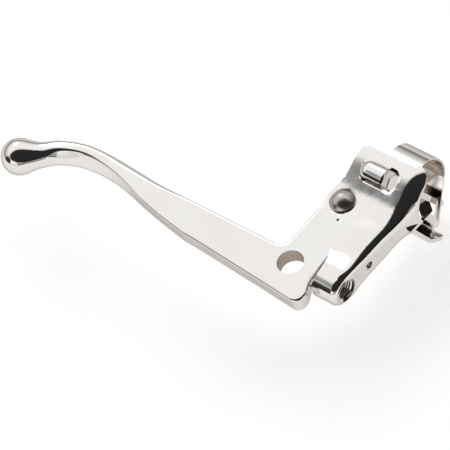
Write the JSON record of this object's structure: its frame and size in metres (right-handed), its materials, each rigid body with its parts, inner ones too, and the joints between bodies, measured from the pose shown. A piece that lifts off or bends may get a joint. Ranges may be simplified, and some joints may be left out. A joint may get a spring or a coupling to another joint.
{
  "type": "clutch lever",
  "caption": "Ball-end lever pivoting in a pressed-steel channel bracket with a strap clamp for a one-inch handlebar and a threaded cable seat.",
  "frame": {"origin": "on the handlebar's axis, midway along the clamp strap", "axes": "+X along the bar, away from the lever's ball; +Y from the lever to the bar; +Z along the pivot, towards the rivet's domed head"},
  "size_m": [0.185, 0.0953, 0.0488],
  "materials": {
    "lever_chrome": "polished chrome plate over a forging",
    "bracket_chrome": "polished chrome plate over pressed steel",
    "strap_chrome": "chrome-plated steel band",
    "liner_steel": "satin steel strip",
    "fastener_chrome": "plated hexagon fasteners",
    "washer_steel": "bright zinc-plated washers",
    "rivet_steel": "polished steel dome, lightly scuffed",
    "bush_steel": "turned and tapped steel",
    "bronze": "sintered bearing bronze"
  },
  "bodies": {
    "bracket": {"thrust_washer_front": "washer_steel", "thrust_washer_rear": "washer_steel", "rivet_washer": "washer_steel", "pivot_rivet": "rivet_steel", "bracket": "bracket_chrome", "clamp_strap": "strap_chrome", "strap_liner": "liner_steel", "anchor_screw": "fastener_chrome", "clamp_bolt": "fastener_chrome", "clamp_washer": "washer_steel", "clamp_nut": "fastener_chrome", "cable_bush": "bush_steel"},
    "lever": {"lever": "lever_chrome", "pivot_bush": "bronze"}
  },
  "joints": [
    {"name": "lever_pivot", "type": "hinge", "parent": "bracket", "child": "lever", "pos_m": [-0.015, -0.0265, 0], "axis": [0, 0, 1], "range_deg": [-17, 0]}
  ]
}
